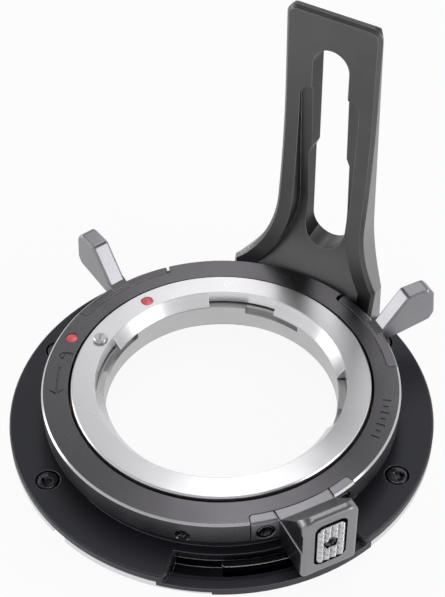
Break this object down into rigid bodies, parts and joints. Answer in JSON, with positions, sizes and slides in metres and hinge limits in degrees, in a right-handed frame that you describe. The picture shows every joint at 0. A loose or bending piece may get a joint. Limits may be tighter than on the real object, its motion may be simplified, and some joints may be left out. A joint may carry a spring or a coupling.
{
  "type": "lens mount unit",
  "caption": "Round positive-lock bayonet lens mount with a winged lock ring, a push-button latch block, a silver lens seat and a slotted support arm",
  "frame": {"origin": "centre of the lower face of the round spigot that goes into the camera", "axes": "+Z along the optical axis towards the lens, +Y towards the support arm"},
  "size_m": [0.0775, 0.0773, 0.066],
  "materials": {
    "silver_steel": "turned and satin",
    "black_anodised": "fine matt, anodised black",
    "grey_anodised": "fine matt, anodised dark grey",
    "satin_grey": "bead blasted, anodised grey",
    "polished_steel": "polished",
    "dull_steel": "turned, darkened",
    "shim_steel": "rolled sheet",
    "spring_steel": "drawn wire",
    "button_steel": "milled, bright",
    "black_steel": "black oxide",
    "bronze": "turned",
    "red_enamel": "glossy enamel"
  },
  "bodies": {
    "base": {"camera_ring": "silver_steel", "base_flange": "black_anodised", "flange_screws": "black_steel", "glide_ring": "bronze", "flange_shim": "shim_steel", "bayonet_plate": "silver_steel", "plate_screws": "black_steel", "index_pin": "polished_steel", "lens_index_dot": "red_enamel", "support_arm": "grey_anodised", "arm_screws": "black_steel", "strike_rail": "polished_steel", "rail_pins": "polished_steel"},
    "lock": {"lock_ring": "grey_anodised", "lock_index_dot": "red_enamel", "wing_left": "satin_grey", "wing_right": "satin_grey", "wing_screws": "black_steel", "release_housing": "satin_grey", "housing_screws": "black_steel", "clamp_ring": "dull_steel", "drive_screws": "black_steel", "button_spring": "spring_steel"},
    "button": {"release_button": "button_steel", "button_screw": "black_steel", "latch_plunger": "polished_steel"}
  },
  "joints": [
    {"name": "lock_turn", "type": "hinge", "parent": "base", "child": "lock", "pos_m": [0, 0, 0.009], "axis": [0, 0, 1], "range_deg": [-33.3, 0]},
    {"name": "button_press", "type": "slide", "parent": "lock", "child": "button", "axis": [-0.8508, 0.5255, 0], "range_m": [0, 0.001], "stiffness_N_per_m": 1200, "springref_m": -0.0008, "deforming": ["button_spring"]}
  ]
}
